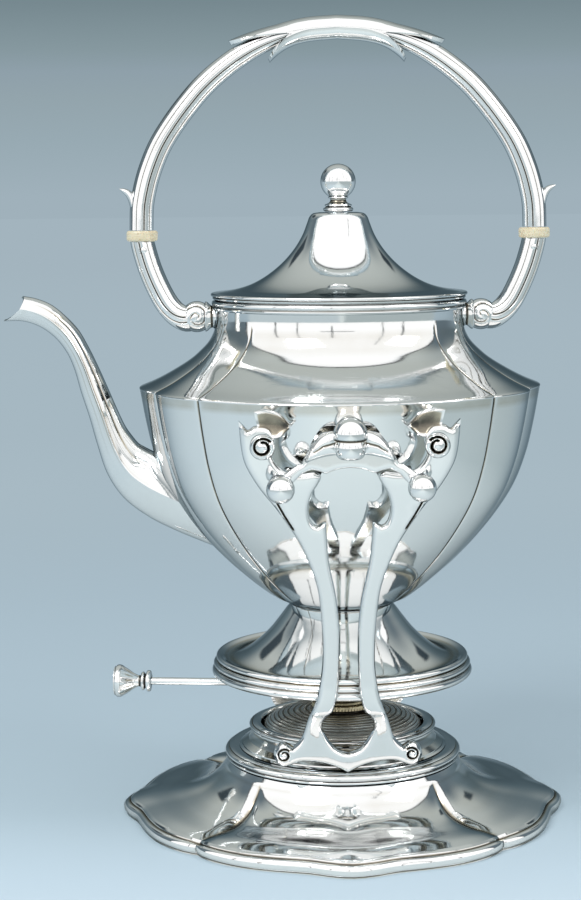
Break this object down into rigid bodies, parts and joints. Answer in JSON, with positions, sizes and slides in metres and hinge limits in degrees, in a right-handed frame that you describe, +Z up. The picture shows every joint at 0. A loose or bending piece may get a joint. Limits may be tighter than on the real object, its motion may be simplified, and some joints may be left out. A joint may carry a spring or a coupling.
{
  "type": "spirit kettle on stand",
  "caption": "Lobed kettle with a hinged lid, swan spout and bail handle, tilting on pins between the pierced uprights of a lobed stand above a spirit lamp.",
  "frame": {"origin": "on the surface that the stand rests on, under the middle of the part's bounding box", "axes": "+Z up, the spout points along -X and the pictured side faces -Y"},
  "size_m": [0.254, 0.2188, 0.3645],
  "materials": {
    "polished_silver": "mirror-polished silver with soft hand-polishing wear",
    "shaded_silver": "duller polished silver with a little tarnish",
    "brass": "satin, slightly darkened",
    "ivory": "cream, softly polished, with a faint grain",
    "cotton": "matt woven cotton"
  },
  "bodies": {
    "stand": {"base_dish": "polished_silver", "base_collar": "polished_silver", "lamp_gallery": "polished_silver", "front_bracket": "polished_silver", "back_bracket": "polished_silver"},
    "pin_front_left": {"front_left_pin": "polished_silver"},
    "pin_front_right": {"front_right_pin": "polished_silver"},
    "pin_back_left": {"back_left_pin": "polished_silver"},
    "pin_back_right": {"back_right_pin": "polished_silver"},
    "kettle": {"kettle_body": "polished_silver", "neck_ring": "polished_silver", "kettle_foot": "polished_silver", "spout": "polished_silver", "front_lug": "polished_silver", "back_lug": "polished_silver", "front_bud": "polished_silver", "back_bud": "polished_silver", "bail_socket_left": "polished_silver", "bail_socket_right": "polished_silver", "body_hinge_leaf": "polished_silver", "hinge_pin": "shaded_silver"},
    "lid": {"lid_shell": "polished_silver", "lid_bezel": "shaded_silver", "lid_finial": "polished_silver", "finial_nut": "brass", "lid_hinge_leaf": "polished_silver"},
    "bail": {"bail_arch": "polished_silver", "bail_sheath": "polished_silver", "bail_stub_left": "polished_silver", "bail_stub_right": "polished_silver", "ivory_ring_left": "ivory", "ivory_ring_right": "ivory", "bail_rivet_left": "shaded_silver", "bail_rivet_right": "shaded_silver"},
    "lamp": {"lamp_reservoir": "shaded_silver", "burner_cap": "brass", "wick_tube": "brass", "burner_housing": "brass"},
    "winder": {"winder_shaft": "polished_silver", "wick_pinion": "brass", "winder_knob": "polished_silver"},
    "wick": {"wick": "cotton"}
  },
  "joints": [
    {"name": "kettle_tilt", "type": "hinge", "parent": "stand", "child": "kettle", "pos_m": [-0.00315, 0, 0.1634], "axis": [0, -1, 0], "range_deg": [0, 35]},
    {"name": "lid_hinge", "type": "hinge", "parent": "kettle", "child": "lid", "pos_m": [0.02585, 0.0613, 0.2376], "axis": [-1, 0, 0], "range_deg": [0, 95]},
    {"name": "bail_swing", "type": "hinge", "parent": "kettle", "child": "bail", "pos_m": [0.02585, 0, 0.2284], "axis": [1, 0, 0], "range_deg": [-8, 90]},
    {"name": "pin_front_left_slide", "type": "slide", "parent": "stand", "child": "pin_front_left", "axis": [0, -1, 0], "range_m": [0, 0.014]},
    {"name": "pin_front_right_slide", "type": "slide", "parent": "stand", "child": "pin_front_right", "axis": [0, -1, 0], "range_m": [0, 0.014]},
    {"name": "pin_back_left_slide", "type": "slide", "parent": "stand", "child": "pin_back_left", "axis": [0, 1, 0], "range_m": [0, 0.014]},
    {"name": "pin_back_right_slide", "type": "slide", "parent": "stand", "child": "pin_back_right", "axis": [0, 1, 0], "range_m": [0, 0.014]},
    {"name": "lamp_turn", "type": "hinge", "parent": "stand", "child": "lamp", "pos_m": [0.02585, 0, 0.0256], "axis": [0, 0, 1], "range_deg": [-50, 50]},
    {"name": "wick_winder", "type": "hinge", "parent": "lamp", "child": "winder", "pos_m": [0.02636, 0.00487, 0.0572], "axis": [-0.9945, 0.1045, 0], "range_deg": [-83, 50]},
    {"name": "wick_lift", "type": "slide", "parent": "lamp", "child": "wick", "axis": [0, 0, 1], "range_m": [-0.0045, 0.003]}
  ],
  "couplings": [
    {"joint": "wick_lift", "follows": "wick_winder", "m_per_rad": 0.0031}
  ]
}
